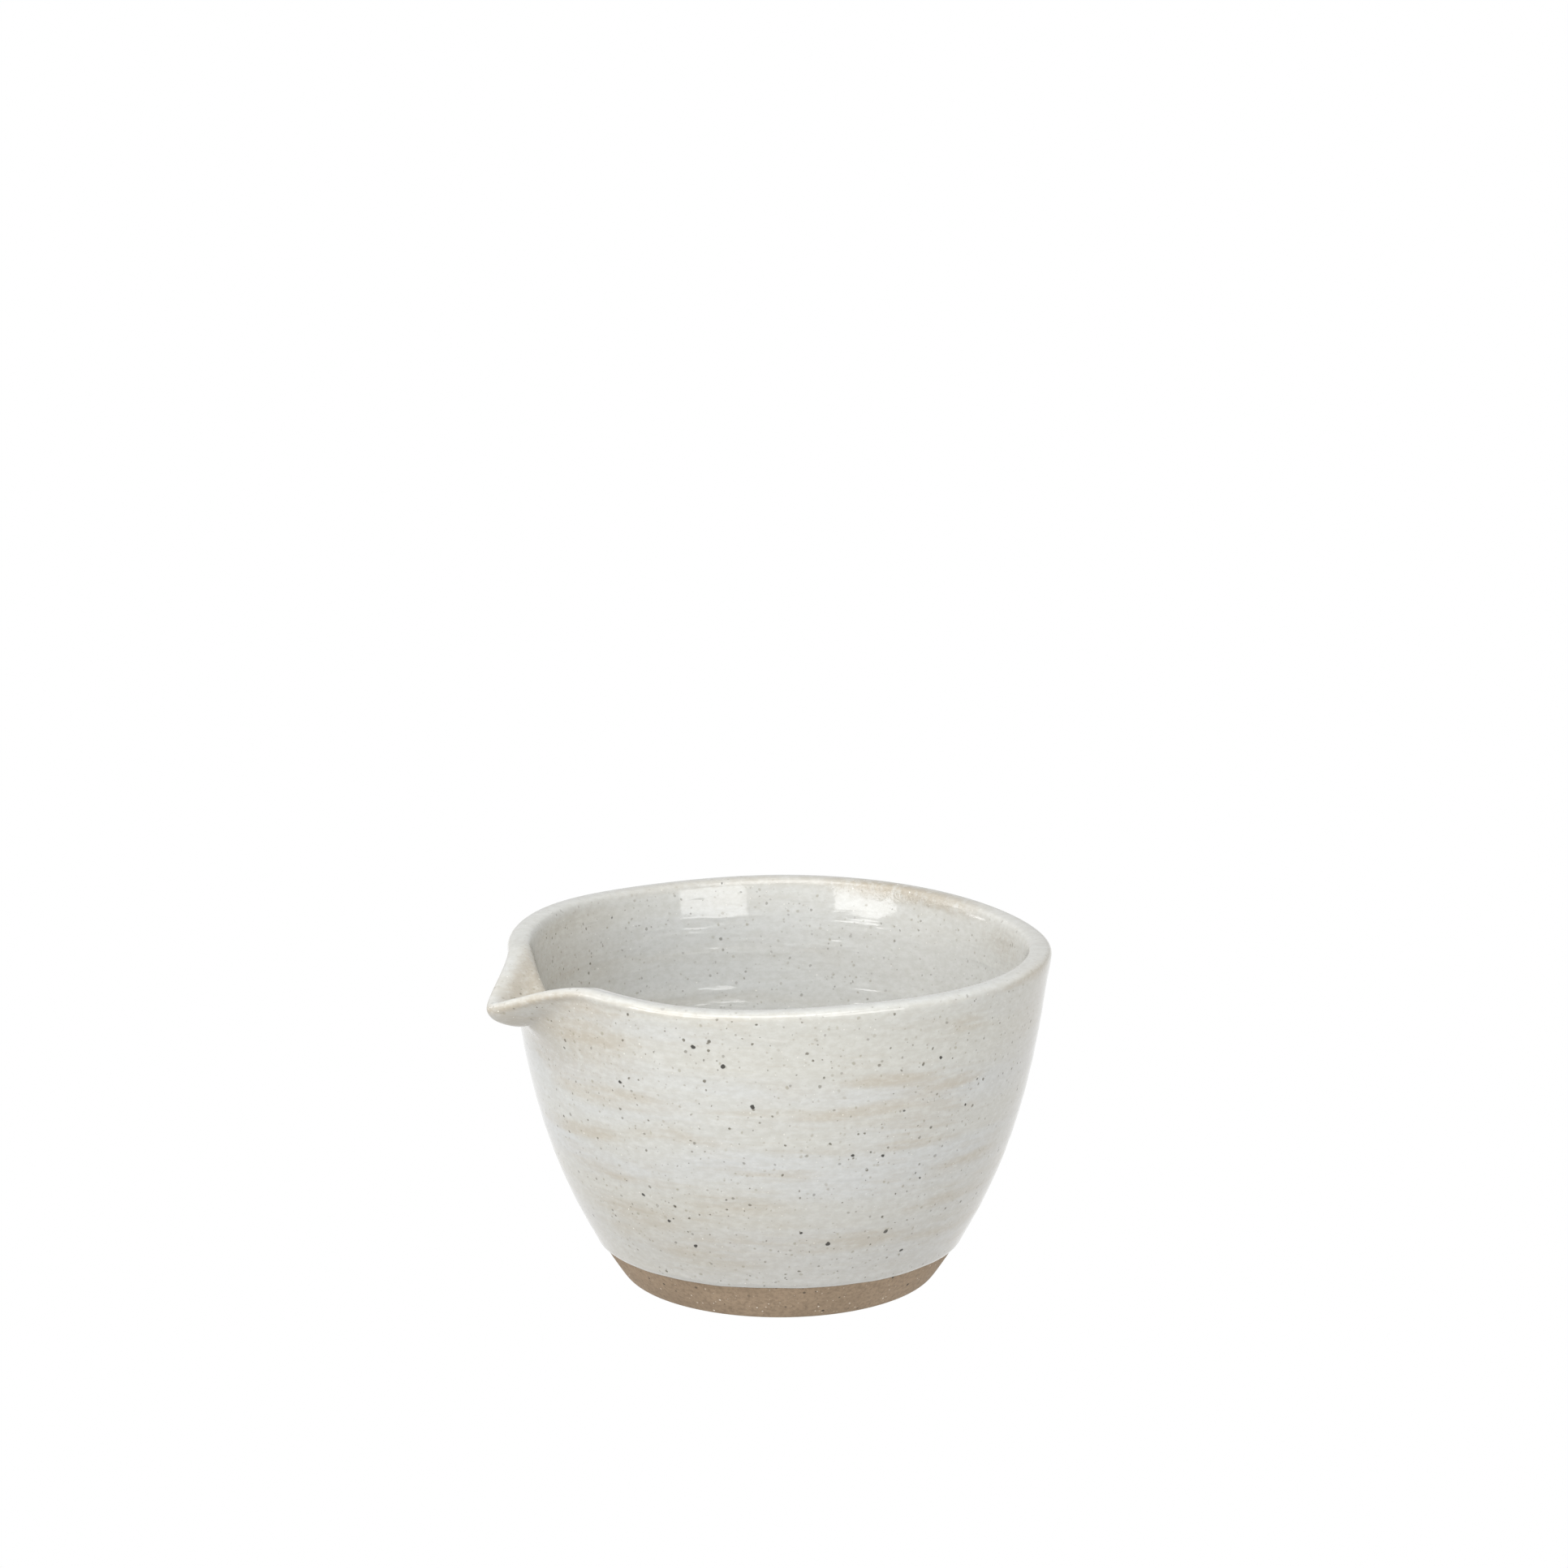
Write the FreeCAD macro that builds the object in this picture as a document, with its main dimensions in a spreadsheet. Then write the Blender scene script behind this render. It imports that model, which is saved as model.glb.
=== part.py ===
"""Stoneware pouring bowl: a thrown bowl whose lip is pulled into a spout, under a coat of glaze.

Millimetres, +Z up, origin at the centre of the foot on the plane the bowl stands on, spout along -X.
The bowl is symmetric about the XZ plane.
"""
import FreeCAD
import Part
import math
import os

# Driving dimensions: alias, value and what it measures. Lengths are millimetres, angles degrees.
DIMENSIONS = [
    ("rim_radius", 75.0, "outside of the glazed rim"),
    ("bowl_height", 94.3, "top of the glazed rim"),
    ("rim_width", 6.5, "wall thickness just under the rim"),
    ("base_thickening", 2.6, "what the wall gains from the rim down to the foot"),
    ("belly", 0.62, "share of the wall's widening that is done low down"),
    ("foot_radius", 43.8, "foot where the wall starts"),
    ("foot_round", 0.6, "rounding of the foot's outer edge"),
    ("recess_radius", 34.0, "shallow hollow under the foot"),
    ("recess_depth", 1.2, "depth of that hollow"),
    ("floor_height", 6.5, "clay floor above the standing plane"),
    ("floor_radius", 14.0, "flat middle of the floor"),
    ("glaze_thickness", 0.5, "glaze over the clay"),
    ("glaze_line", 10.2, "bare clay below this height"),
    ("spout_reach", 12.0, "how far the lip is pulled out beyond the rim"),
    ("spout_drop", 7.5, "how far the tip droops below the rim"),
    ("spout_lip", 4.0, "thickness of the lip's edge at the tip"),
    ("spout_keel", 5.0, "depth of the spout below its crest"),
    ("crease_depth", 9.1, "where the wall turns outward into the spout, below the rim"),
    ("lip_spread", 21.0, "half angle over which the outer lip is pulled"),
    ("mouth_spread", 20.0, "half angle of the channel inside the lip"),
    ("throat_spread", 22.0, "half angle of the bulge below the lip"),
]

ANGLE_STEPS = 72      # stations round the bowl
CROWDING = 0.8        # 0 spaces them evenly, towards 1 they crowd round the spout
CLEARANCE = 10.0      # how far a cutting tool stands out of what it cuts


def make_sheet(doc):
    """The spreadsheet of driving dimensions."""
    sheet = doc.addObject("Spreadsheet::Sheet", "dimensions")
    for row, (alias, value, meaning) in enumerate(DIMENSIONS, start=1):
        sheet.set(f"A{row}", alias)
        sheet.set(f"B{row}", str(value))
        sheet.setAlias(f"B{row}", alias)
        sheet.set(f"C{row}", meaning)
    doc.recompute()
    return sheet


def pull(angle, spread, rounding, sharpness):
    """Share of the spout's shape at an angle from its axis: 1 on the axis, 0 from the spread on.

    The flanks run almost straight to a tip that the rounding blunts, and ease into the rim.
    """
    turn = min(abs(angle) / math.radians(spread), 1.0)
    far = math.hypot(1.0, rounding)
    return ((far - math.hypot(turn, rounding)) / (far - rounding)) ** sharpness


def section(dim, angle):
    """Control points (radius, height) of the clay wall's radial section at an angle from the spout.

    They run from the foot's edge up the outside, over the lip and down the inside to the floor.
    """
    rim = dim.rim_radius - dim.glaze_thickness
    top = dim.bowl_height - dim.glaze_thickness
    inner = rim - dim.rim_width + 2 * dim.glaze_thickness
    foot = dim.foot_radius
    floor = dim.floor_height

    def outside(height):
        climb = height / top
        widening = dim.belly * (1 - (1 - climb) ** 3) + (1 - dim.belly) * climb
        return foot + (rim - foot) * widening

    def inside(height):
        thickening = dim.base_thickening * (1 - height / top) ** 2
        return outside(height) - (rim - inner) - thickening

    lip = pull(angle, dim.lip_spread, 0.07, 1.85)
    mouth = pull(angle, dim.mouth_spread, 0.15, 1.7)
    throat = pull(angle, dim.throat_spread, 0.4, 1.5)
    edge = (lip + mouth) / 2

    tip = rim + dim.spout_reach
    crest = top - dim.spout_drop
    keel = crest - dim.spout_keel
    crease = top - dim.crease_depth

    def plain(radius, height):
        return (radius, height), (radius, height), 0.0

    # Each row: point on the plain wall, point on the spout's axis, share of the spout here.
    rows = [plain(foot - dim.foot_round, 0.0), plain(foot, 0.0)]
    rows += [plain(outside(share * top), share * top) for share in (0.02, 0.13, 0.27, 0.42, 0.56, 0.68)]
    rows += [
        ((outside(0.78 * top), 0.78 * top), (outside(0.78 * top) - 1.0, 0.78 * top), throat),
        ((outside(0.86 * top), 0.86 * top), (outside(0.83 * top) + 2.0, 0.83 * top), throat),
        ((outside(0.92 * top), 0.92 * top), (rim + 2.0, keel - 0.8), lip),
        ((rim, top - 2.8), (tip - 8.5, keel - 2.2), lip),
        ((rim + 0.1, top - 0.4), (tip + 1.0, crest - dim.spout_lip), lip),
        ((rim - 1.3, top + 0.1), (tip + 0.8, crest + 0.6), lip),
        ((inner + 1.3, top + 0.1), (tip - 5.5, crest - 0.2), lip),
        ((inner + 0.3, top - 0.3), (tip - 12.2, crest - 2.7), edge),
        ((inner - 0.3, top - 1.9), (inner, crease), mouth),
        ((inside(0.94 * top), 0.94 * top), (inside(0.9 * top), crease - 3.5), mouth),
        ((inside(0.84 * top), 0.84 * top), (inside(0.83 * top), 0.83 * top), mouth),
    ]
    rows += [plain(inside(share * top), share * top) for share in (0.74, 0.61, 0.44, 0.27, 0.13)]
    rows += [
        plain(0.46 * rim, floor),
        plain(dim.floor_radius + 10.0, floor),
        plain(dim.floor_radius, floor),
    ]
    return [
        (plain_r + share * (spout_r - plain_r), plain_z + share * (spout_z - plain_z))
        for (plain_r, plain_z), (spout_r, spout_z), share in rows
    ]


def offset(points, distance):
    """The control points moved square to their own outline, away from the clay."""
    def normal(start, end):
        run, rise = end[0] - start[0], end[1] - start[1]
        length = math.hypot(run, rise)
        return rise / length, -run / length

    normals = [normal(start, end) for start, end in zip(points, points[1:])]
    pairs = zip([normals[0]] + normals, normals + [normals[-1]])
    moved = []
    for (radius, height), (before, after) in zip(points, pairs):
        mitre = 1 + before[0] * after[0] + before[1] * after[1]
        moved.append((
            radius + distance * (before[0] + after[0]) / mitre,
            height + distance * (before[1] + after[1]) / mitre,
        ))
    return moved


def ring_of_poles(points):
    """The closed spline through one station all round the bowl."""
    ring = Part.BSplineCurve()
    ring.interpolate(Points=points, PeriodicFlag=True, Parameters=list(range(len(points) + 1)))
    return ring


def wall_solid(dim, skin):
    """The bowl as one closed solid: its free-form wall, a flat underside and a flat middle floor.

    The skin is added square to the clay: 0 gives the clay, the glaze's thickness gives the glaze's outside.
    """
    columns = []
    for step in range(ANGLE_STEPS):
        even = 2 * math.pi * step / ANGLE_STEPS
        angle = even - CROWDING * math.sin(even)
        past_half = angle - 2 * math.pi if angle > math.pi else angle
        poles = offset(section(dim, past_half), skin)
        columns.append([
            FreeCAD.Vector(-radius * math.cos(angle), -radius * math.sin(angle), height)
            for radius, height in poles
        ])
    rings = [ring_of_poles([column[station] for column in columns]) for station in range(len(columns[0]))]
    spans = len(rings) - 3
    surface = Part.BSplineSurface()
    surface.buildFromPolesMultsKnots(
        [ring.getPoles() for ring in rings],
        [4] + [1] * (spans - 1) + [4],
        rings[0].getMultiplicities(),
        [knot / spans for knot in range(spans + 1)],
        rings[0].getKnots(),
        False,
        True,
        3,
        3,
    )
    wall = surface.toShape()
    ends = sorted((edge for edge in wall.Edges if edge.isClosed() and not edge.isSeam(wall)),
                  key=lambda edge: edge.CenterOfMass.z)
    caps = [Part.Face(Part.Wire([edge])) for edge in ends]
    shell = Part.makeShell([wall] + caps)
    shell.sewShape()
    solid = Part.makeSolid(Part.Shell(shell.Faces))
    if solid.Volume < 0:
        solid.reverse()
    return solid


def free_form(doc, name, shape):
    """An object that holds a free-form solid."""
    form = doc.addObject("Part::Feature", name)
    form.Shape = shape
    form.Placement = FreeCAD.Placement()
    return form


def cut(doc, name, base, tool):
    """The base with the tool taken out of it."""
    result = doc.addObject("Part::Cut", name)
    result.Base = base
    result.Tool = tool
    result.Label = name
    return result


def make_foot_hollow(doc):
    """Tool for the shallow hollow under the foot, which leaves a ring to stand on."""
    hollow = doc.addObject("Part::Cone", "foot_hollow")
    hollow.setExpression("Radius1", "dimensions.recess_radius + dimensions.recess_depth")
    hollow.setExpression("Radius2", "dimensions.recess_radius - dimensions.recess_depth")
    hollow.setExpression("Height", "2 * dimensions.recess_depth")
    hollow.setExpression("Placement.Base.z", "-dimensions.recess_depth")
    return hollow


def make_wiped_band(doc):
    """Tool for the foot and the band above it, which are wiped clean of glaze before firing.

    A core inside the clay keeps the tool off the glaze on the bowl's floor.
    """
    outside = doc.addObject("Part::Cylinder", "outside_of_band")
    outside.setExpression("Radius", f"dimensions.rim_radius + {CLEARANCE}")
    outside.setExpression("Height", f"dimensions.glaze_line + {CLEARANCE}")
    outside.setExpression("Placement.Base.z", f"-{CLEARANCE}")
    core = doc.addObject("Part::Cylinder", "glazed_floor_core")
    core.setExpression("Radius", "dimensions.foot_radius - dimensions.foot_round")
    core.setExpression("Height", "dimensions.glaze_line")
    core.setExpression("Placement.Base.z", "dimensions.floor_height / 2")
    return cut(doc, "wiped_band", outside, core)


def check(doc, parts):
    """Stops unless every object recomputed and every part is one sound solid."""
    for item in doc.Objects:
        if "Invalid" in item.State or "Error" in item.State:
            raise RuntimeError(f"{item.Label} did not recompute: {item.State}")
    for part in parts:
        shape = part.Shape
        if shape.isNull() or not shape.isValid() or len(shape.Solids) != 1:
            raise RuntimeError(f"{part.Label} is not one sound solid")


def main():
    doc = FreeCAD.newDocument("pouring_bowl")
    dim = make_sheet(doc)

    clay_form = free_form(doc, "clay_form", wall_solid(dim, 0.0))
    stoneware_body = cut(doc, "stoneware_body", clay_form, make_foot_hollow(doc))

    glaze_form = free_form(doc, "glaze_form", wall_solid(dim, dim.glaze_thickness))
    glaze_all_over = cut(doc, "glaze_all_over", glaze_form, clay_form)
    glaze_coat = cut(doc, "glaze_coat", glaze_all_over, make_wiped_band(doc))

    doc.recompute()
    parts = [stoneware_body, glaze_coat]
    check(doc, parts)
    os.makedirs("parts", exist_ok=True)
    for part in parts:
        part.Shape.exportStep(f"parts/{part.Label}.step")
        box = part.Shape.BoundBox
        print(part.Label, f"{box.XLength:.1f} x {box.YLength:.1f} x {box.ZLength:.1f} mm,",
              f"{part.Shape.Volume / 1000:.1f} cm3")


main()
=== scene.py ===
"""Looks of the stoneware pouring bowl: thrown clay, a pulled spout and a speckled glaze.

The shape functions work in millimetres, the meshes and materials in metres, all in the part's own
frame: +Z up, the spout along -X, the origin at the centre of the foot.
"""
import bpy
import math
import numpy as np
from mathutils import Euler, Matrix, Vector


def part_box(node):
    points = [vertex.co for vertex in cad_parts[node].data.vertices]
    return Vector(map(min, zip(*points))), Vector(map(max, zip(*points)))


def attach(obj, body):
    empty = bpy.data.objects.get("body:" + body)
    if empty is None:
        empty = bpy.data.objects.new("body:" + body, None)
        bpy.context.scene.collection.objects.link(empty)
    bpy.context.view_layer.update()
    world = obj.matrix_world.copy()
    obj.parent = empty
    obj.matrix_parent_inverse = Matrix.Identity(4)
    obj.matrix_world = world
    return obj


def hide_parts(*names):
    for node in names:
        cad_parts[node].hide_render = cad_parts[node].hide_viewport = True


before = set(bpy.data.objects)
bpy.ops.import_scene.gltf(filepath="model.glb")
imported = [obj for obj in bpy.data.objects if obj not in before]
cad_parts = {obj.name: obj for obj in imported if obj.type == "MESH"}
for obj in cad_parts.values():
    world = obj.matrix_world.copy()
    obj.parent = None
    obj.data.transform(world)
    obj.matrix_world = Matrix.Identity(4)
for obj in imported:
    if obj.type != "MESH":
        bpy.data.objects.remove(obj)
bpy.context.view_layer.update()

MM = 0.001

# The rim's radius comes from the frame; the other sizes are those of the CAD design.
_, glaze_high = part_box("glaze_coat")
RIM_RADIUS = glaze_high.y / MM
BOWL_HEIGHT = 94.3
RIM_WIDTH = 6.5
BASE_THICKENING = 2.6
BELLY = 0.62
FOOT_RADIUS = 43.8
FOOT_ROUND = 0.6
RECESS_RADIUS = 34.0
RECESS_DEPTH = 1.2
FLOOR_HEIGHT = 6.5
FLOOR_RADIUS = 14.0
GLAZE_THICKNESS = 0.5
GLAZE_LINE = 10.2
SPOUT_REACH = 12.0
SPOUT_DROP = 7.5
SPOUT_LIP = 4.0
SPOUT_KEEL = 5.0
CREASE_DEPTH = 9.1
LIP_SPREAD = 21.0
MOUTH_SPREAD = 20.0
THROAT_SPREAD = 22.0

COLUMNS = 400         # mesh columns round the bowl
CROWDING = 0.6        # 0 spaces them evenly, towards 1 they crowd round the spout

# Waves round the bowl: how many, their height in millimetres and their turn in degrees.
RIM_WAVE = [
    (1, 0.75, -30), (2, 0.35, -145), (3, 0.5, -55), (4, 0.1, 140), (5, 0.2, 50), (6, 0.15, 75),
]
GLAZE_LINE_WAVE = [(2, 0.8, 126), (3, 0.1, 10), (7, 0.1, 80), (13, 0.08, 30), (29, 0.04, 0)]

RING_CLIMB = 7.0      # how far the finger ridges climb in one turn of the wheel
EDGE_RUN = 6.0        # thousandths of the section over which the glaze reaches its full thickness
EDGE_ROLL = 0.3       # how much thicker than that it is just above its lower edge
EDGE_ROLL_WIDTH = 5.0

# Where the glaze has run thin, and where the same colour is painted as shade by the spout: how
# much, where that is past the top of the rim in millimetres, with the half width and sharpness of
# the patch, then the same round the bowl in degrees from the spout. Left, right and far are as the
# camera sees them.
THIN_AND_SHADED_PLACES = [
    (0.9, (-4.0, 1.2, 2), (7, 12, 4)),         # edge of the spout
    # The spout's channel: partly thin glaze, partly painted shade that darkens the trough.
    (0.85, (8.5, 7.5, 6), (-7, 16, 4)),        # channel of the spout
    # Painted shadow under the spout, not thin glaze.
    (0.55, (-16.0, 12.0, 4), (8, 22, 4)),      # under the spout
    (0.6, (-4.2, 0.9, 2), (125, 16, 4)),       # outer edge of the rim, near right
    (0.95, (3.0, 3.8, 4), (-152, 20, 4)),      # rim, far right
    (0.45, (2.0, 2.5, 4), (-110, 40, 4)),      # rim, far side
    (0.25, (5.0, 2.5, 2), (-50, 20, 4)),       # rim, left
    (0.5, (9.0, 4.5, 2), (171, 12, 2)),        # just inside the rim, right
]


# ---------------------------------------------------------------- shape of the pot

def smooth(low, high, value):
    """0 below low, 1 above high, easing between."""
    share = np.clip((value - low) / (high - low), 0, 1)
    return share * share * (3 - 2 * share)


def pull(angle, spread, rounding, sharpness):
    """Share of the spout's shape at an angle from its axis."""
    turn = np.minimum(np.abs(angle) / math.radians(spread), 1.0)
    far = math.hypot(1.0, rounding)
    return ((far - np.hypot(turn, rounding)) / (far - rounding)) ** sharpness


def section(angle):
    """Control points (angle, point, radius and height) of the clay wall's radial sections.

    They run from the foot's edge up the outside, over the lip and down the inside to the floor.
    """
    rim = RIM_RADIUS - GLAZE_THICKNESS
    top = BOWL_HEIGHT - GLAZE_THICKNESS
    inner = rim - RIM_WIDTH + 2 * GLAZE_THICKNESS

    def outside(height):
        climb = height / top
        widening = BELLY * (1 - (1 - climb) ** 3) + (1 - BELLY) * climb
        return FOOT_RADIUS + (rim - FOOT_RADIUS) * widening

    def inside(height):
        thickening = BASE_THICKENING * (1 - height / top) ** 2
        return outside(height) - (rim - inner) - thickening

    lip = pull(angle, LIP_SPREAD, 0.07, 1.85)
    mouth = pull(angle, MOUTH_SPREAD, 0.15, 1.7)
    throat = pull(angle, THROAT_SPREAD, 0.4, 1.5)
    edge = (lip + mouth) / 2
    none = np.zeros_like(angle)

    tip = rim + SPOUT_REACH
    crest = top - SPOUT_DROP
    keel = crest - SPOUT_KEEL
    crease = top - CREASE_DEPTH

    def same(radius, height):
        return (radius, height), (radius, height), none

    def outer(share):
        return same(outside(share * top), share * top)

    def inward(share):
        return same(inside(share * top), share * top)

    # Each row: point on the plain wall, point on the spout's axis, share of the spout.
    rows = [same(FOOT_RADIUS - FOOT_ROUND, 0.0), same(FOOT_RADIUS, 0.0)]
    rows += [outer(share) for share in (0.02, 0.13, 0.27, 0.42, 0.56, 0.68)]
    rows += [
        ((outside(0.78 * top), 0.78 * top), (outside(0.78 * top) - 1.0, 0.78 * top), throat),
        ((outside(0.86 * top), 0.86 * top), (outside(0.83 * top) + 2.0, 0.83 * top), throat),
        ((outside(0.92 * top), 0.92 * top), (rim + 2.0, keel - 0.8), lip),
        ((rim, top - 2.8), (tip - 8.5, keel - 2.2), lip),
        ((rim + 0.1, top - 0.4), (tip + 1.0, crest - SPOUT_LIP), lip),
        ((rim - 1.3, top + 0.1), (tip + 0.8, crest + 0.6), lip),
        ((inner + 1.3, top + 0.1), (tip - 5.5, crest - 0.2), lip),
        ((inner + 0.3, top - 0.3), (tip - 12.2, crest - 2.7), edge),
        ((inner - 0.3, top - 1.9), (inner, crease), mouth),
        ((inside(0.94 * top), 0.94 * top), (inside(0.9 * top), crease - 3.5), mouth),
        ((inside(0.84 * top), 0.84 * top), (inside(0.83 * top), 0.83 * top), mouth),
    ]
    rows += [inward(share) for share in (0.74, 0.61, 0.44, 0.27, 0.13)]
    rows += [same(radius, FLOOR_HEIGHT) for radius in (0.46 * rim, FLOOR_RADIUS + 10, FLOOR_RADIUS)]
    poles = [
        np.outer(1 - share, plain) + np.outer(share, pulled)
        for plain, pulled, share in rows
    ]
    return np.stack(poles, axis=1)


def offset(poles, distance):
    """The control points moved square to their own outline, away from the clay."""
    step = np.diff(poles, axis=1)
    normal = np.stack([step[..., 1], -step[..., 0]], axis=-1)
    normal /= np.linalg.norm(normal, axis=-1, keepdims=True)
    before = np.concatenate([normal[:, :1], normal], axis=1)
    after = np.concatenate([normal, normal[:, -1:]], axis=1)
    mitre = 1 + (before * after).sum(axis=-1, keepdims=True)
    return poles + distance * (before + after) / mitre


def spline(poles, place):
    """Points at places 0 to 1 along clamped cubic splines with these control points.

    poles is (column, point, 2); place is (row,) or (column, row).
    """
    count = poles.shape[1]
    knots = np.concatenate([[0] * 3, np.linspace(0, 1, count - 2), [1] * 3])
    place = np.broadcast_to(np.clip(place, 0, 1 - 1e-9), (poles.shape[0], np.shape(place)[-1]))
    span = np.floor(place * (count - 3)).astype(int)
    column = np.arange(poles.shape[0])[:, None]
    point = [poles[column, span + k] for k in range(4)]
    for level in range(1, 4):
        for k in range(3, level - 1, -1):
            low = knots[span + k]
            high = knots[span + k + 4 - level]
            share = ((place - low) / (high - low))[..., None]
            point[k] = (1 - share) * point[k - 1] + share * point[k]
    return point[3]


def column_angles():
    """Angles of the columns round the bowl, from the spout's axis, crowded round the spout."""
    even = np.linspace(0, 2 * math.pi, COLUMNS, endpoint=False)
    angle = even - CROWDING * np.sin(even)
    return np.where(angle > math.pi, angle - 2 * math.pi, angle)


def harmonics(angle, terms):
    """A gentle closed wave round the bowl: terms are (number of waves, height, turn in degrees)."""
    return sum(size * np.cos(number * angle - math.radians(turn)) for number, size, turn in terms)


def thrown(points, angle):
    """Section points as the hand left them: the rim rises and falls a little round the bowl."""
    wave = harmonics(angle, RIM_WAVE)[:, None]
    lifted = points.copy()
    lifted[..., 1] += wave * np.clip(points[..., 1] / BOWL_HEIGHT, 0, 1) ** 3
    return lifted


def in_space(points, angle):
    """Section points (column, row, radius and height) as (row, column, x y z)."""
    radius, height = points[..., 0], points[..., 1]
    x = -radius * np.cos(angle)[:, None]
    y = -radius * np.sin(angle)[:, None]
    return np.stack([x, y, height], axis=-1).transpose(1, 0, 2)


def throwing_rings(points, angle, outside_rows):
    """Height of the finger ridges that spiral up the wall, for section points (column, row, 2)."""
    height = points[..., 1]
    turn = angle[:, None]
    climb = 2 * math.pi * height + RING_CLIMB * turn

    def ridges(size, spacing, waver):
        return size * np.sin(climb / spacing + waver)

    outer = ridges(0.020, 7.0, 0.8 * np.sin(2 * turn)) + ridges(0.015, 10.5, np.sin(turn + 1))
    inner = ridges(0.035, 5.4, 0.7 * np.sin(turn + 2)) + ridges(0.020, 8.3, np.sin(turn))
    fading = smooth(12, 20, height) * (1 - smooth(76, 87, height))
    return np.where(outside_rows, outer, inner) * fading


def mesh_object(name, rows, material):
    """A closed mesh from rows of points round the bowl; the first and last row close in a fan."""
    count, columns = rows.shape[:2]
    first = rows[0].mean(axis=0)
    last = rows[-1].mean(axis=0)
    points = np.concatenate([rows.reshape(-1, 3), [first, last]]) * MM
    row, column = np.meshgrid(np.arange(count - 1), np.arange(columns), indexing="ij")
    beside = (column + 1) % columns
    quads = np.stack([
        row * columns + column,
        row * columns + beside,
        (row + 1) * columns + beside,
        (row + 1) * columns + column,
    ], axis=-1).reshape(-1, 4)
    here = np.arange(columns)
    there = (here + 1) % columns
    start = np.stack([there, here, np.full(columns, count * columns)], axis=-1)
    base = (count - 1) * columns
    end = np.stack([base + here, base + there, np.full(columns, count * columns + 1)], axis=-1)
    mesh = bpy.data.meshes.new(name)
    mesh.from_pydata(points.tolist(), [], quads.tolist() + start.tolist() + end.tolist())
    mesh.validate()
    mesh.shade_smooth()
    mesh.materials.append(material)
    piece = bpy.data.objects.new(name, mesh)
    bpy.context.collection.objects.link(piece)
    return piece


def rows_along(*stretches):
    """Places along the section: each stretch is (from, to, number of steps)."""
    parts = [np.linspace(start, end, steps, endpoint=False) for start, end, steps in stretches]
    return np.concatenate(parts + [[stretches[-1][1]]])


def clay_piece(angle, material):
    """The fired clay, with the shallow hollow under its foot."""
    place = rows_along((0, 0.07, 24), (0.07, 0.4, 50), (0.4, 0.7, 60), (0.7, 1, 30))
    wall = thrown(spline(section(angle), place), angle)
    # From the roof of the hollow, over its rounded edge, to the ring that the pot stands on.
    foot_ring = np.array([
        [RECESS_RADIUS - 3.0, RECESS_DEPTH],
        [RECESS_RADIUS - 0.6, RECESS_DEPTH - 0.1],
        [RECESS_RADIUS + 0.3, 0.15],
        [RECESS_RADIUS + 1.0, 0.0],
        [RECESS_RADIUS + 5.0, 0.0],
    ])
    under = np.broadcast_to(foot_ring, (len(angle), *foot_ring.shape))
    rows = in_space(np.concatenate([under, wall], axis=1), angle)
    return mesh_object("clay_body", rows, material)


def place_at_height(poles, height):
    """Place along each section, low on the outside, where it reaches a height of its own."""
    trial = np.linspace(0, 0.3, 400)
    rises = spline(poles, trial)[..., 1]
    return np.array([np.interp(value, rise, trial) for value, rise in zip(height, rises)])[:, None]


def glaze_piece(angle, material):
    """The glaze: a skin over the clay from the wiped line outside to the middle of the floor."""
    clay_poles = section(angle)
    skin_poles = offset(clay_poles, GLAZE_THICKNESS)
    start = place_at_height(clay_poles, GLAZE_LINE + harmonics(angle, GLAZE_LINE_WAVE))
    share = rows_along((0, 0.012, 8), (0.012, 0.4, 60), (0.4, 0.68, 75), (0.68, 1, 55))[None, :]
    place = start + (1 - start) * share
    bare = spline(clay_poles, place)
    full = spline(skin_poles, place)
    outward = full - bare
    from_edge = (place - start) * 1000
    roll = 1 + EDGE_ROLL * np.exp(-((from_edge - EDGE_RUN) / EDGE_ROLL_WIDTH) ** 2)
    cover = np.sqrt(np.clip(from_edge / EDGE_RUN, 0, 1)) * roll
    skin = bare + outward * cover[..., None]
    outward /= np.maximum(np.linalg.norm(outward, axis=-1, keepdims=True), 1e-9)
    past_crest = along_from_crest(skin)
    ridge = throwing_rings(skin, angle, past_crest < 0) * smooth(0, 0.02, share)
    ridge += lip_flare(past_crest) + lip_bead(past_crest, angle)
    outer = in_space(thrown(skin + outward * ridge[..., None], angle), angle)
    back_share = rows_along((0.0, 0.4, 22), (0.4, 0.68, 30), (0.68, 1, 14))[None, 1:]
    back = in_space(thrown(spline(clay_poles, start + (1 - start) * back_share), angle), angle)
    piece = mesh_object("glaze_skin", np.concatenate([back[::-1], outer]), material)
    for name, values in (
        ("thinness_and_shade", thinness_and_shade(past_crest, angle)),
        ("pooled_and_lit", pooled_and_lit(past_crest, angle)),
        ("lip", on_lip(past_crest)),
        ("sheltered", sheltered(past_crest, angle)),
    ):
        add_values(piece, name, values.T, len(back))
    return piece


def along_from_crest(points):
    """Millimetres along each section from the top of the rim, below 0 outside."""
    step = np.linalg.norm(np.diff(points, axis=1), axis=-1)
    travelled = np.concatenate([np.zeros((len(points), 1)), np.cumsum(step, axis=1)], axis=1)
    crest = points[..., 1].argmax(axis=1)
    return travelled - travelled[np.arange(len(points)), crest][:, None]


def outside_radius(angle, height):
    """Millimetres from the axis to the glaze outside, at an angle and a height up the wall."""
    skin = spline(offset(section(np.array([angle])), GLAZE_THICKNESS), np.linspace(0, 0.6, 300))[0]
    up_to_rim = skin[:skin[:, 1].argmax()]
    return np.interp(height, up_to_rim[:, 1], up_to_rim[:, 0])


def lip_flare(past_crest):
    """The inside of the lip opens a little more than the wall below it."""
    return 0.45 * smooth(1, 14, past_crest) * (1 - smooth(15, 32, past_crest))


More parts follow.
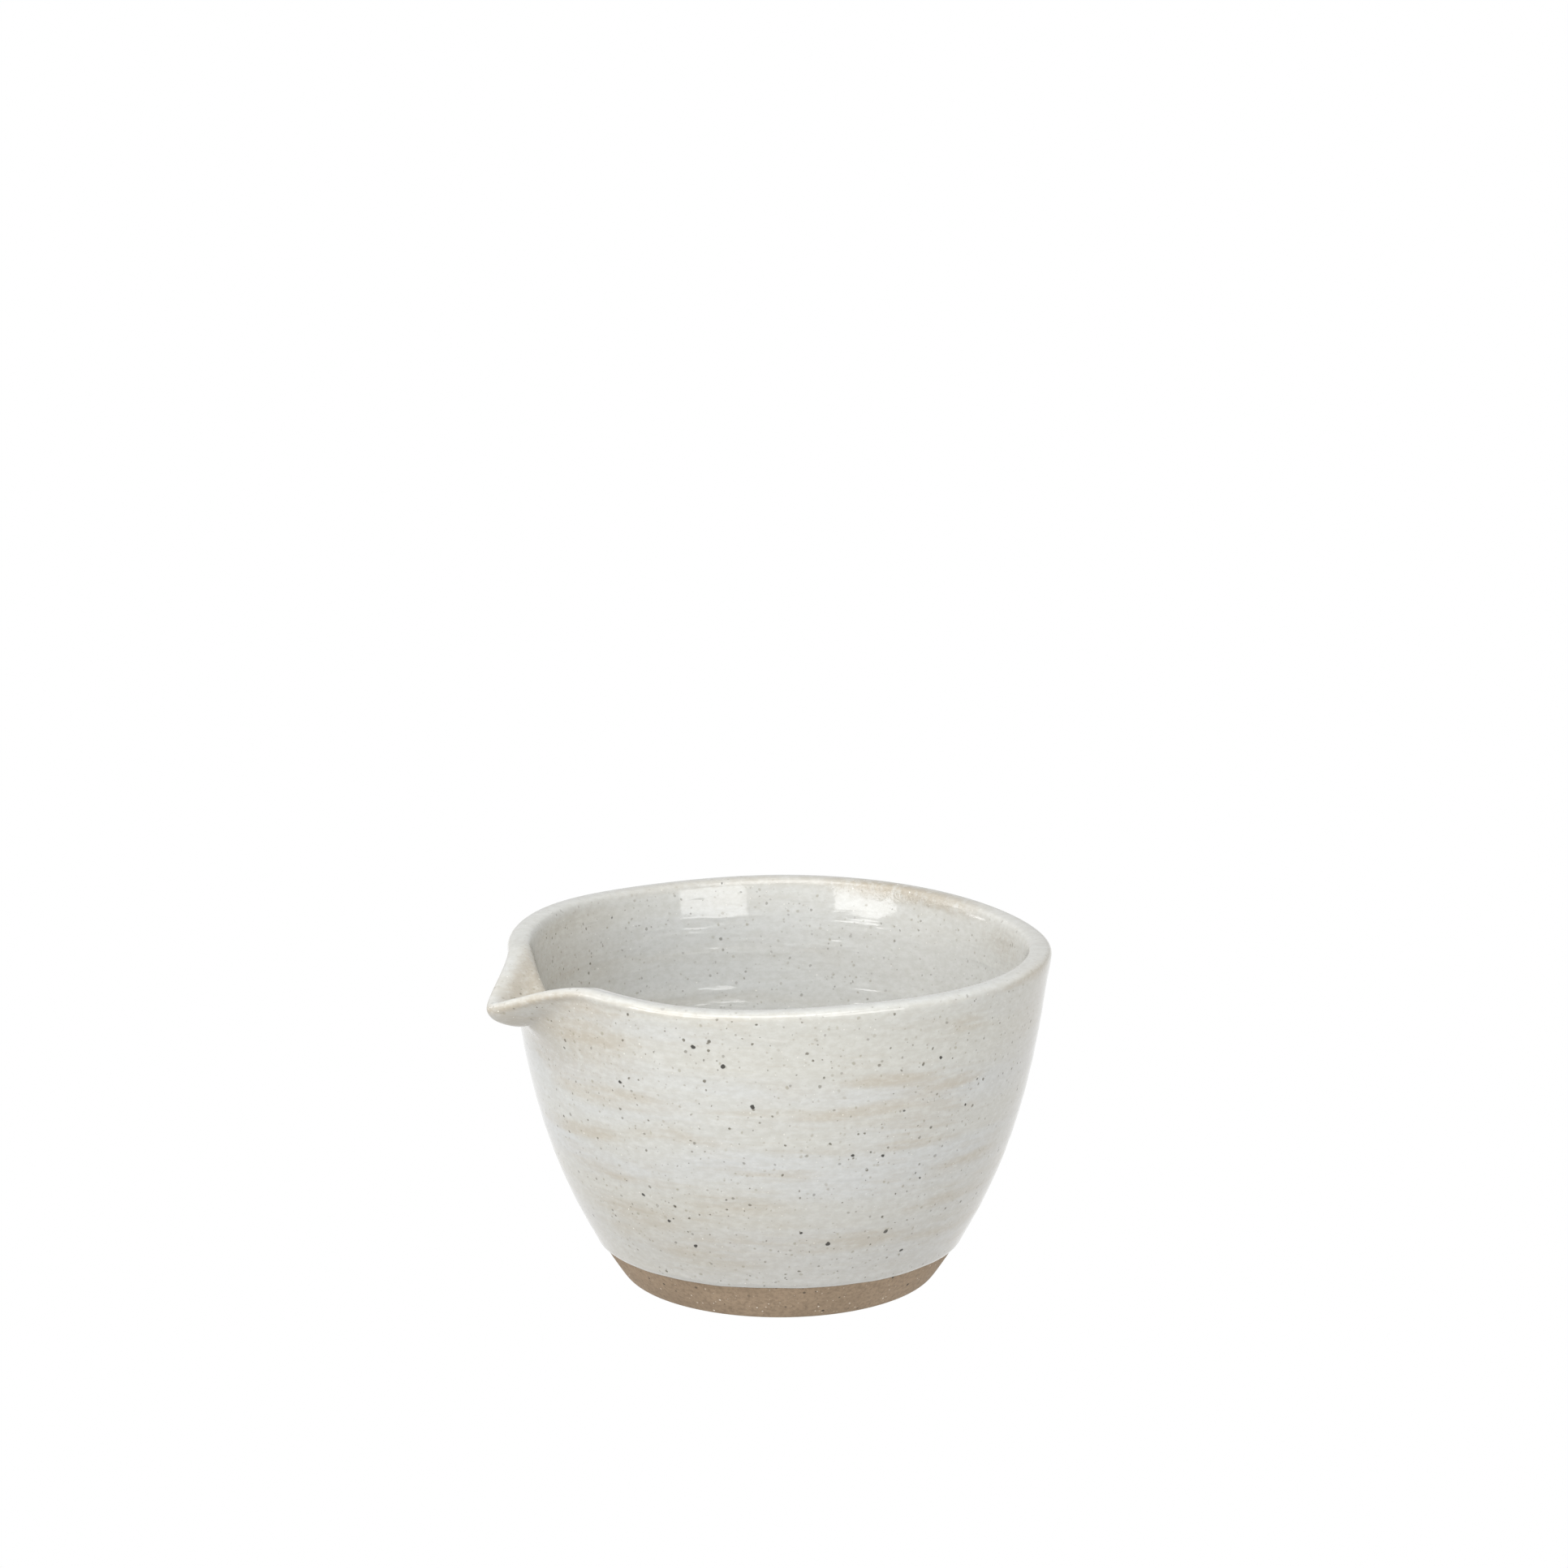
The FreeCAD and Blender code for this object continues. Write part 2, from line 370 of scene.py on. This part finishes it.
def lip_bead(past_crest, angle):
    """The lip's outer edge is rolled into a soft bead, fullest on one flank of the spout."""
    bead = smooth(-5.4, -3.8, past_crest) * (1 - smooth(-2.0, 1.0, past_crest))
    return bead * (0.08 + 0.42 * around(angle, 20, 15, 4))


def around(angle, middle, half_width, power=2):
    """A bump round the bowl: 1 at the middle, in degrees from the spout, 0 well away from it."""
    away = (angle[:, None] - math.radians(middle) + math.pi) % (2 * math.pi) - math.pi
    return np.exp(-np.abs(away / math.radians(half_width)) ** power)


def along(past_crest, middle, half_width, power=2):
    """A bump along each section: 1 at the middle, in millimetres past the top of the rim."""
    return np.exp(-np.abs((past_crest - middle) / half_width) ** power)


def thinness_and_shade(past_crest, angle):
    """How thin the glaze has run, 0 to 1, where the lip let it drain, with painted shade in the
    spout's channel and under the spout.
    """
    return sum(
        amount * along(past_crest, *up_the_wall) * around(angle, *round_the_bowl)
        for amount, up_the_wall, round_the_bowl in THIN_AND_SHADED_PLACES
    )


def sheltered(past_crest, angle):
    """The inside wall beside the spout, 0 to 1, where the glaze is warmer in colour."""
    return smooth(3.0, 8.0, past_crest) * around(angle, -25, 45, 4)


def pooled_and_lit(past_crest, angle):
    """Where the glaze lies thick and cool, 0 to 1: the lip and the inside, less so by the spout.
    Its lighter colour is partly painted light that lifts the inside's shade, and holding it back in
    the spout's channel leaves painted shade there.
    """
    by_spout = np.maximum(sheltered(past_crest, angle), around(angle, -5, 20, 4))
    return smooth(-4.0, -1.5, past_crest) * (1 - 0.7 * by_spout)


def on_lip(past_crest):
    """1 on the top of the rim, 0 on the walls."""
    return along(past_crest, 0.0, 4.5, 4)


def add_values(piece, name, rows, rows_before):
    """Stores a value for each outer point of a piece, for its material; the rows before are 0."""
    values = np.zeros(len(piece.data.vertices), dtype=np.float32)
    start = rows_before * rows.shape[1]
    values[start:start + rows.size] = rows.ravel()
    layer = piece.data.attributes.new(name, "FLOAT", "POINT")
    layer.data.foreach_set("value", values)


# ---------------------------------------------------------------- materials

class Graph:
    """Builds a material's node tree with short calls."""

    def __init__(self, name):
        self.material = bpy.data.materials.new(name)
        self.material.use_nodes = True
        self.tree = self.material.node_tree
        self.tree.nodes.clear()

    def node(self, kind, settings=None, **inputs):
        """A new node; an input's name has underscores for spaces."""
        made = self.tree.nodes.new(kind)
        for key, value in (settings or {}).items():
            setattr(made, key, value)
        for key, value in inputs.items():
            self.put(made.inputs[key.replace("_", " ")], value)
        return made

    def put(self, socket, value):
        """Links the value to the socket, or sets the socket to it."""
        if isinstance(value, bpy.types.NodeSocket):
            self.tree.links.new(value, socket)
        else:
            socket.default_value = value

    def math(self, operation, *values):
        made = self.tree.nodes.new("ShaderNodeMath")
        made.operation = operation
        for socket, value in zip(made.inputs, values):
            self.put(socket, value)
        return made.outputs[0]

    def times(self, first, *others):
        """The product of the values."""
        for other in others:
            first = self.math("MULTIPLY", first, other)
        return first

    def value(self, name):
        """A value stored on the mesh's points."""
        return self.node("ShaderNodeAttribute", {"attribute_name": name}).outputs["Fac"]

    def scaled(self, vector, scale):
        return self.node("ShaderNodeMapping", Vector=vector, Scale=scale).outputs[0]

    def moved(self, vector, scale, distance):
        """The vector nudged about by noise, up to the distance each way."""
        settings = {"normalize": False}
        wobble = self.node("ShaderNodeTexNoise", settings, Vector=vector, Scale=scale, Detail=1.0)
        nudge = self.tree.nodes.new("ShaderNodeVectorMath")
        nudge.operation = "MULTIPLY_ADD"
        self.put(nudge.inputs[0], wobble.outputs["Color"])
        nudge.inputs[1].default_value = (distance,) * 3
        self.put(nudge.inputs[2], vector)
        return nudge.outputs[0]

    def noise(self, vector, scale, detail=2.0, roughness=0.5):
        inputs = {"Vector": vector, "Scale": scale, "Detail": detail, "Roughness": roughness}
        return self.node("ShaderNodeTexNoise", **inputs).outputs["Fac"]

    def ramp(self, value, low, high, start=0.0, end=1.0):
        """Eases from start to end as the value goes from low to high."""
        made = self.node("ShaderNodeMapRange", {"interpolation_type": "SMOOTHSTEP"}, Value=value)
        made.inputs["From Min"].default_value = low
        made.inputs["From Max"].default_value = high
        made.inputs["To Min"].default_value = start
        made.inputs["To Max"].default_value = end
        return made.outputs[0]

    def mix(self, share, first, second):
        """The first colour where the share is 0, the second where it is 1."""
        made = self.tree.nodes.new("ShaderNodeMix")
        made.data_type = "RGBA"
        factor, first_colour, second_colour = made.inputs[0], made.inputs[6], made.inputs[7]
        self.put(factor, share)
        self.put(first_colour, first)
        self.put(second_colour, second)
        return made.outputs[2]

    def specks(self, vector, spacing, share, small, large, blur):
        """Round specks, 0 to 1: see the list of specks for what the numbers are."""
        cells = self.node("ShaderNodeTexVoronoi", Vector=vector, Scale=1 / spacing)
        draws = self.node("ShaderNodeSeparateColor", Color=cells.outputs["Color"])
        chance, size, depth = draws.outputs
        there = self.math("LESS_THAN", chance, share)
        mostly_small = self.math("POWER", size, 2.5)
        reach = self.math("MULTIPLY_ADD", mostly_small, (large - small) / spacing, small / spacing)
        distance = self.math("SUBTRACT", cells.outputs["Distance"], reach)
        inside = self.ramp(distance, -blur / spacing, blur / spacing, 1.0, 0.0)
        strength = self.ramp(depth, 0.0, 1.0, 0.45, 1.0)
        return self.times(inside, strength, there)

    def spots(self, vector, places, blur):
        """Single specks on the outside, 0 to 1, where the list of places puts them."""
        darkest = 0.0
        for degrees, height, radius in places:
            angle = math.radians(degrees)
            reach = outside_radius(angle, height)
            centre = Vector((-reach * math.cos(angle), -reach * math.sin(angle), height)) * MM
            away = self.tree.nodes.new("ShaderNodeVectorMath")
            away.operation = "DISTANCE"
            self.put(away.inputs[0], vector)
            away.inputs[1].default_value = centre
            edge = radius * MM
            spot = self.ramp(away.outputs["Value"], edge - blur, edge + blur, 1.0, 0.0)
            darkest = self.math("MAXIMUM", spot, darkest)
        return darkest

    def brush_marks(self, vector, marks):
        """Long soft marks round the wall, 0 to 1, where the list of marks puts them."""
        x, y, z = self.node("ShaderNodeSeparateXYZ", Vector=vector).outputs
        turn = self.math("ARCTAN2", self.math("MULTIPLY", y, -1.0), self.math("MULTIPLY", x, -1.0))
        strongest = 0.0
        for degrees, height, half_length, half_depth, slope in marks:
            past = self.math("SUBTRACT", turn, math.radians(degrees))
            sideways = self.math("MULTIPLY", past, RIM_RADIUS * MM)
            middle = self.math("MULTIPLY_ADD", sideways, slope, height * MM)
            above = self.math("DIVIDE", self.math("SUBTRACT", z, middle), half_depth * MM)
            beside = self.math("DIVIDE", sideways, half_length * MM)
            squares = self.math("MULTIPLY_ADD", above, above, self.math("MULTIPLY", beside, beside))
            mark = self.ramp(squares, 0.0, MARK_END, 1.0, 0.0)
            strongest = self.math("MAXIMUM", mark, strongest)
        return strongest


def colour(red, green, blue):
    """A linear colour from 0 to 255 display values."""
    def linear(value):
        value /= 255
        return value / 12.92 if value <= 0.04045 else ((value + 0.055) / 1.055) ** 2.4
    return (linear(red), linear(green), linear(blue), 1.0)


# The glaze's colours; the thin one also paints shade by the spout, the pooled one paints light on
# the lip and the inside.
COOL_GLAZE = colour(173, 174, 173)
PLAIN_GLAZE = colour(172, 171, 165)
WARM_GLAZE = colour(160, 153, 140)
POOLED_AND_LIT_GLAZE = colour(183, 184, 182)
THIN_AND_SHADED_GLAZE = colour(152, 144, 130)
SHELTERED_GLAZE = colour(180, 173, 158)
MOTTLE_DARK = colour(145, 141, 128)
MOTTLE_PALE = colour(190, 191, 186)

# Iron that has bled into the glaze, from deep under it to right at its surface, and white grit that
# also stands in as painted glints.
DEEP_IRON = colour(126, 122, 92)
FAINT_IRON = colour(118, 113, 92)
SMALL_IRON = colour(84, 79, 66)
MIDDLE_IRON = colour(66, 62, 50)
BLACK_IRON = colour(38, 35, 30)
WHITE_GRIT_AND_GLINT = colour(236, 233, 224)

CLAY_DARK = colour(131, 113, 92)
CLAY_PALE = colour(145, 126, 104)
CLAY_GRAIN = colour(100, 84, 67)
CLAY_GRIT = colour(212, 200, 184)
CLAY_IRON = colour(52, 43, 34)

# Specks: their spacing, the share of places that have one, the smallest and the largest radius,
# and how soft their edge is. Lengths are metres.
DEEP_SPECKS = (0.0075, 0.35, 0.0003, 0.0006, 0.0003)
FAINT_SPECKS = (0.0021, 0.9, 0.0002, 0.0005, 0.00018)
SMALL_SPECKS = (0.0022, 0.75, 0.00018, 0.00045, 0.00013)
MIDDLE_SPECKS = (0.0046, 0.5, 0.0003, 0.00055, 0.00015)
BLACK_SPECKS = (0.0074, 0.15, 0.0004, 0.0007, 0.00014)
GRIT_AND_GLINT_SPECKS = (0.0016, 0.7, 0.00007, 0.00022, 0.00006)
PINHOLES = (0.0022, 0.4, 0.00004, 0.00018, 0.00005)
CLAY_GRIT_SPECKS = (0.0014, 0.8, 0.00008, 0.0003, 0.00008)
CLAY_IRON_SPECKS = (0.0026, 0.8, 0.00012, 0.0005, 0.00012)

# The largest specks: degrees from the spout, height up the outside and radius in millimetres.
IRON_SPOTS = [
    (45, 84, 0.6), (51, 79, 0.6), (57, 68, 0.6), (27, 71, 0.5), (98, 78, 0.5), (28, 38, 0.5),
    (34, 31, 0.5), (40, 24, 0.6), (75, 26, 0.7), (68, 30, 0.4), (79, 53, 0.5), (86, 52, 0.5),
    (107, 62, 0.4), (98, 20, 0.5), (150, 66, 0.5), (172, 34, 0.6), (205, 74, 0.5), (222, 28, 0.5),
    (248, 56, 0.6), (291, 33, 0.5), (318, 68, 0.6),
]
SPOT_BLUR = 0.00014

# Where the brush left the glaze thin: degrees from the spout, height up the outside, half the
# length and half the depth in millimetres, and the slope.
BRUSH_MARKS = [
    (87, 74, 14, 2.2, 0.0), (84, 66, 24, 2.2, 0.07), (104, 70, 12, 2.0, 0.08),
    (22, 66, 24, 3.5, -0.02), (2, 72, 9, 5.0, 0.0), (24, 31, 18, 4.0, -0.04),
    (46, 21, 24, 3.5, 0.0), (80, 26, 26, 3.0, 0.03), (112, 44, 18, 2.5, 0.05),
    (160, 60, 24, 2.5, 0.05), (215, 35, 26, 3.0, -0.04), (262, 68, 22, 2.0, 0.05),
    (305, 28, 20, 3.0, 0.0),
]
MARK_END = 1.8        # square of how far a mark reaches, in its own half sizes

GLAZE_IOR = 1.5
GLAZE_BUMP = 0.0001   # metres of relief in the glaze
CLAY_BUMP = 0.0003    # and in the bare clay
CLAY_ROUGHNESS = 0.88


def glaze_ground(g, place, tilted):
    """The glaze's colour under its specks: where it is warm, where it is thin and in patches, and
    painted shade by the spout.
    """
    # Noise squeezed in height: broad bands, the brush's streaks, and the hairs' fine lines.
    broad = g.noise(g.scaled(tilted, (9, 9, 62)), 1.0, 2.0, 0.5)
    brushed = g.noise(g.scaled(tilted, (16, 16, 150)), 1.0, 5.0, 0.6)
    fibre = g.noise(g.scaled(tilted, (60, 60, 900)), 1.0, 3.0, 0.6)
    cloud = g.noise(place, 26.0, 3.0, 0.5)
    base = g.mix(g.ramp(broad, 0.35, 0.65), COOL_GLAZE, PLAIN_GLAZE)
    streak = g.math("ADD", g.times(brushed, 0.6), g.times(cloud, 0.4))
    streaks = g.times(g.ramp(streak, 0.50, 0.66), 0.75)
    broken = g.ramp(brushed, 0.38, 0.62, 0.1, 0.8)
    marks = g.times(g.brush_marks(place, BRUSH_MARKS), broken)
    warm = g.math("MAXIMUM", streaks, marks)
    base = g.mix(warm, base, WARM_GLAZE)
    base = g.mix(g.ramp(fibre, 0.45, 0.8, 0.0, 0.25), base, WARM_GLAZE)

    # Warmer low down, away from the spout and where it is sheltered; cooler where it pools, and
    # lighter there as painted light on the lip and the inside.
    across, _, up = g.node("ShaderNodeSeparateXYZ", Vector=place).outputs
    low_down = g.ramp(up, 0.055, 0.015, 0.0, 0.3)
    far_from_spout = g.ramp(across, 0.02, 0.07, 0.0, 0.55)
    base = g.mix(g.math("ADD", low_down, far_from_spout), base, WARM_GLAZE)
    base = g.mix(g.times(g.value("pooled_and_lit"), 0.65), base, POOLED_AND_LIT_GLAZE)
    base = g.mix(g.times(g.value("sheltered"), 0.45), base, SHELTERED_GLAZE)

    # Clay shows through in patches where the glaze is thin, the same colour paints shade in the
    # spout's channel and under the spout, and the whole is mottled.
    patches = g.ramp(g.noise(place, 330.0, 4.0, 0.6), 0.3, 0.55, 0.45, 1.0)
    patchy_thin_and_shade = g.times(g.value("thinness_and_shade"), patches)
    base = g.mix(g.times(patchy_thin_and_shade, 0.85), base, THIN_AND_SHADED_GLAZE)
    mottle = g.noise(g.scaled(place, (420, 420, 700)), 1.0, 4.0, 0.65)
    base = g.mix(g.ramp(mottle, 0.35, 0.75, 0.0, 0.22), base, MOTTLE_DARK)
    base = g.mix(g.ramp(mottle, 0.55, 0.25, 0.0, 0.22), base, MOTTLE_PALE)
    return base, warm, patchy_thin_and_shade


def speckled(g, place, base, sugary):
    """The glaze's colour with iron and grit in it, fewer where it lies thick and on the lip; the
    white grit is partly painted glints, more of it where the glaze is sugary.
    """
    ragged = g.moved(g.moved(place, 500.0, 0.00025), 1500.0, 0.0001)
    blurred = g.moved(ragged, 1100.0, 0.0006)
    off_lip = g.math("MULTIPLY_ADD", g.value("lip"), -0.55, 1.0)
    plenty = g.times(g.math("MULTIPLY_ADD", g.value("pooled_and_lit"), -0.4, 1.0), off_lip)
    base = g.mix(g.times(g.specks(blurred, *DEEP_SPECKS), 0.4), base, DEEP_IRON)
    base = g.mix(g.times(g.specks(ragged, *FAINT_SPECKS), 0.48, off_lip), base, FAINT_IRON)
    base = g.mix(g.times(g.specks(ragged, *SMALL_SPECKS), 0.84, plenty), base, SMALL_IRON)
    base = g.mix(g.times(g.specks(ragged, *MIDDLE_SPECKS), 0.95, plenty), base, MIDDLE_IRON)
    base = g.mix(g.times(g.specks(ragged, *BLACK_SPECKS), 0.95), base, BLACK_IRON)
    base = g.mix(g.times(g.spots(ragged, IRON_SPOTS, SPOT_BLUR), 0.95), base, BLACK_IRON)
    # White grit, and pale dots painted as glints on tiny bumps; more of them where the glaze is
    # sugary.
    grit = g.times(g.specks(place, *GRIT_AND_GLINT_SPECKS), g.ramp(sugary, 0.0, 1.0, 0.35, 0.9))
    return g.mix(grit, base, WHITE_GRIT_AND_GLINT)


def glaze_relief(g, place, tilted, patchy_thin_and_shade):
    """The glaze's fine relief: pinholes, ripple, the fingers' marks, and sugar where it is thin."""
    pits = g.specks(place, *PINHOLES)
    ripple = g.noise(place, 420.0, 2.0, 0.5)
    finger_marks = g.ramp(g.noise(g.scaled(tilted, (45, 45, 260)), 1.0, 2.0, 0.5), 0.5, 0.8)
    sugar = g.times(g.noise(place, 1300.0, 2.0, 0.6), g.times(patchy_thin_and_shade, 1.3))
    height = g.math("MULTIPLY_ADD", pits, -0.3, g.times(ripple, 0.10))
    height = g.math("ADD", g.math("ADD", height, sugar), g.times(finger_marks, 0.8))
    return g.node("ShaderNodeBump", Strength=1.0, Distance=GLAZE_BUMP, Height=height).outputs[0]


def glaze_material():
    """Glossy off-white glaze: warm streaks where it is thin, specks of iron from the clay."""
    g = Graph("speckled_glaze")
    place = g.node("ShaderNodeTexCoord").outputs["Object"]
    tilted = g.node("ShaderNodeMapping", Vector=place, Rotation=(0.03, -0.04, 0)).outputs[0]
    ground, warm, patchy_thin_and_shade = glaze_ground(g, place, tilted)
    base = speckled(g, place, ground, g.math("MAXIMUM", warm, patchy_thin_and_shade))
    relief = glaze_relief(g, place, tilted, patchy_thin_and_shade)
    rough = g.math("ADD", g.ramp(warm, 0.0, 1.0, 0.07, 0.18), g.times(patchy_thin_and_shade, 0.05))
    shader = g.node("ShaderNodeBsdfPrincipled", Base_Color=base, Roughness=rough, Normal=relief)
    shader.inputs["IOR"].default_value = GLAZE_IOR
    g.node("ShaderNodeOutputMaterial", Surface=shader.outputs[0])
    return g.material


def clay_material():
    """Bare fired stoneware: matt warm brown with pale grit and dark iron specks."""
    g = Graph("bare_stoneware")
    place = g.node("ShaderNodeTexCoord").outputs["Object"]
    cloud = g.noise(g.scaled(place, (30, 30, 120)), 1.0, 4.0, 0.6)
    base = g.mix(g.ramp(cloud, 0.3, 0.7), CLAY_DARK, CLAY_PALE)
    grain = g.noise(place, 900.0, 3.0, 0.6)
    base = g.mix(g.ramp(grain, 0.35, 0.75, 0.0, 0.55), base, CLAY_GRAIN)
    pale = g.specks(place, *CLAY_GRIT_SPECKS)
    base = g.mix(g.times(pale, 0.9), base, CLAY_GRIT)
    base = g.mix(g.times(g.specks(place, *CLAY_IRON_SPECKS), 0.95), base, CLAY_IRON)
    height = g.math("ADD", g.times(grain, 0.6), g.times(pale, 0.6))
    bump = g.node("ShaderNodeBump", Strength=0.6, Distance=CLAY_BUMP, Height=height)
    shader = g.node("ShaderNodeBsdfPrincipled", Base_Color=base, Normal=bump.outputs[0])
    shader.inputs["Roughness"].default_value = CLAY_ROUGHNESS
    g.node("ShaderNodeOutputMaterial", Surface=shader.outputs[0])
    return g.material


# ---------------------------------------------------------------- studio

FLOOR_SIZE = 400.0         # metres, so that its edge is out of sight
FLOOR_GAP = 0.0002         # keeps it clear of the foot

VIEW_AZIMUTH = -27.4       # the spout points left and towards the viewer
VIEW_DISTANCE = 1.04
VIEW_ELEVATION = 17.35
VIEW_PITCH = 12.33         # the camera looks a little over the pot
VIEW_YAW = 0.07            # and a touch to one side
VIEW_HEIGHT = 0.045        # what the distance and the elevation are measured from
LENS = 85.2

LIGHT_HEIGHT = 0.08        # the softboxes face this height on the pot's axis
WORLD_STRENGTH = 0.61

# Softboxes: name, azimuth from the camera's and elevation in degrees, distance, width and height
# in metres, power in watts.
SOFTBOXES = [
    ("left_strip", -43, 14, 1.3, 0.75, 0.54, 7.0),
    ("right_strip", 33, 14, 1.3, 0.78, 0.54, 5.8),
    ("left_window", -88, 20, 1.3, 0.7, 0.4, 2.8),
    ("small_window", -108, 3.5, 1.3, 0.22, 0.14, 0.6),
    ("front_wall", -12, 55, 1.8, 2.4, 1.4, 39.0),
    ("left_wall", -95, 50, 1.8, 2.0, 1.4, 5.0),
]


def direction(azimuth, elevation):
    """The unit vector that points from the pot towards an azimuth and elevation in degrees."""
    a, e = math.radians(azimuth), math.radians(elevation)
    return Vector((math.sin(a) * math.cos(e), -math.cos(a) * math.cos(e), math.sin(e)))


def make_floor():
    """A plain floor that gives off enough light to stay white under the pot."""
    g = Graph("studio_floor")
    shader = g.node("ShaderNodeBsdfPrincipled", Base_Color=(0, 0, 0, 1))
    shader.inputs["Roughness"].default_value = 1.0
    shader.inputs["Specular IOR Level"].default_value = 0.0
    shader.inputs["Emission Color"].default_value = (1, 1, 1, 1)
    shader.inputs["Emission Strength"].default_value = 1.0
    g.node("ShaderNodeOutputMaterial", Surface=shader.outputs[0])
    bpy.ops.mesh.primitive_plane_add(size=FLOOR_SIZE, location=(0, 0, -FLOOR_GAP))
    floor = bpy.context.object
    floor.name = "studio_floor"
    floor.data.materials.append(g.material)


def add_softbox(name, azimuth, elevation, distance, width, height, power):
    """A rectangular softbox that faces the pot."""
    light = bpy.data.lights.new(name, "AREA")
    light.shape = "RECTANGLE"
    light.size = width
    light.size_y = height
    light.energy = power
    lamp = bpy.data.objects.new(name, light)
    away = direction(VIEW_AZIMUTH + azimuth, elevation)
    lamp.location = Vector((0, 0, LIGHT_HEIGHT)) + away * distance
    lamp.rotation_euler = away.to_track_quat("Z", "Y").to_euler()
    bpy.context.collection.objects.link(lamp)


def make_camera():
    """The camera, from where the photo was taken; the pot stands low in its picture."""
    data = bpy.data.cameras.new("camera")
    data.lens = LENS
    data.sensor_width = 36.0
    camera = bpy.data.objects.new("camera", data)
    back = direction(VIEW_AZIMUTH, VIEW_ELEVATION)
    camera.location = Vector((0, 0, VIEW_HEIGHT)) + back * VIEW_DISTANCE
    turned = math.radians(VIEW_AZIMUTH - VIEW_YAW)
    camera.rotation_euler = Euler((math.radians(90 - VIEW_PITCH), 0, turned))
    bpy.context.collection.objects.link(camera)
    bpy.context.scene.camera = camera


def make_world():
    """Even light from the white walls all round."""
    world = bpy.data.worlds.new("studio")
    world.use_nodes = True
    background = world.node_tree.nodes["Background"]
    background.inputs["Color"].default_value = (1, 1, 1, 1)
    background.inputs["Strength"].default_value = WORLD_STRENGTH
    bpy.context.scene.world = world
    bpy.context.scene.view_settings.view_transform = "Standard"


def main():
    angle = column_angles()
    clay = clay_piece(angle, clay_material())
    glaze = glaze_piece(angle, glaze_material())
    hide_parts("stoneware_body")
    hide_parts("glaze_coat")
    for piece in (clay, glaze):
        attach(piece, "root")
    make_floor()
    make_camera()
    make_world()
    for softbox in SOFTBOXES:
        add_softbox(*softbox)


main()
